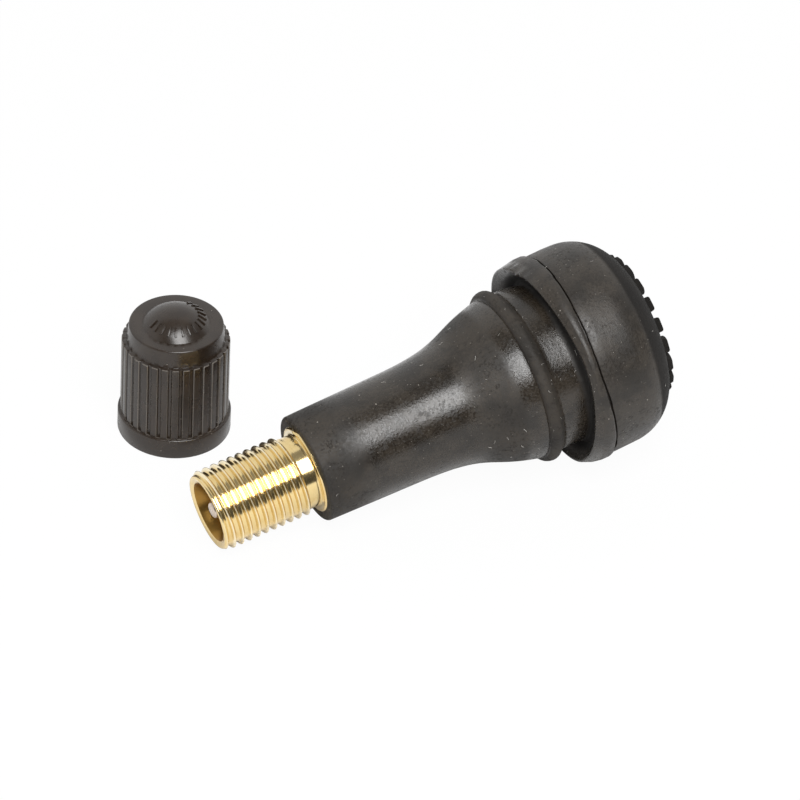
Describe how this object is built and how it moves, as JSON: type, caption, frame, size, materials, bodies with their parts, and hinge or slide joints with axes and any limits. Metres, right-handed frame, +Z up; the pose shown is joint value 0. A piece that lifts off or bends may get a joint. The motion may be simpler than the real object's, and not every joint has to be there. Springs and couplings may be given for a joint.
{
  "type": "tyre valve",
  "caption": "Snap-in rubber tyre valve with a brass threaded stem, a spring-loaded core in its bore and a ribbed dust cap standing beside it.",
  "frame": {"origin": "centre of the bounding box on the floor that the valve and its cap rest on", "axes": "+X runs from the mouth towards the head, level with the floor; +Y points from the valve to its cap; +Z is up"},
  "size_m": [0.0454, 0.0322, 0.0203],
  "materials": {
    "body_rubber": "satin moulded rubber",
    "stem_brass": "bright turned",
    "core_brass": "dull turned",
    "seal_red": "smooth",
    "pin_metal": "pale plated",
    "spring_steel": "drawn wire",
    "seal_black": "smooth",
    "cap_plastic": "semi-gloss moulded"
  },
  "bodies": {
    "stem": {"rubber_body": "body_rubber", "brass_stem": "stem_brass", "dust_cap": "cap_plastic"},
    "core": {"core_barrel": "core_brass", "barrel_gasket": "seal_red", "core_spring": "spring_steel"},
    "plug": {"core_plug": "core_brass"},
    "pin": {"core_pin": "pin_metal", "seal_cup": "core_brass", "cup_gasket": "seal_black"}
  },
  "joints": [
    {"name": "core_draw", "type": "slide", "parent": "stem", "child": "core", "axis": [-0.9846, 0, -0.1748], "range_m": [0, 0.00705]},
    {"name": "core_turn", "type": "hinge", "parent": "core", "child": "plug", "pos_m": [-0.01634, -0.00605, 0.00469], "axis": [-0.9846, 0, -0.1748], "range_deg": [0, 3600]},
    {"name": "pin_press", "type": "slide", "parent": "core", "child": "pin", "axis": [0.9846, 0, 0.1748], "range_m": [0, 0.0015], "stiffness_N_per_m": 2000, "deforming": ["core_spring"]}
  ],
  "couplings": [
    {"joint": "core_turn", "follows": "core_draw", "rad_per_m": 8904.7}
  ]
}
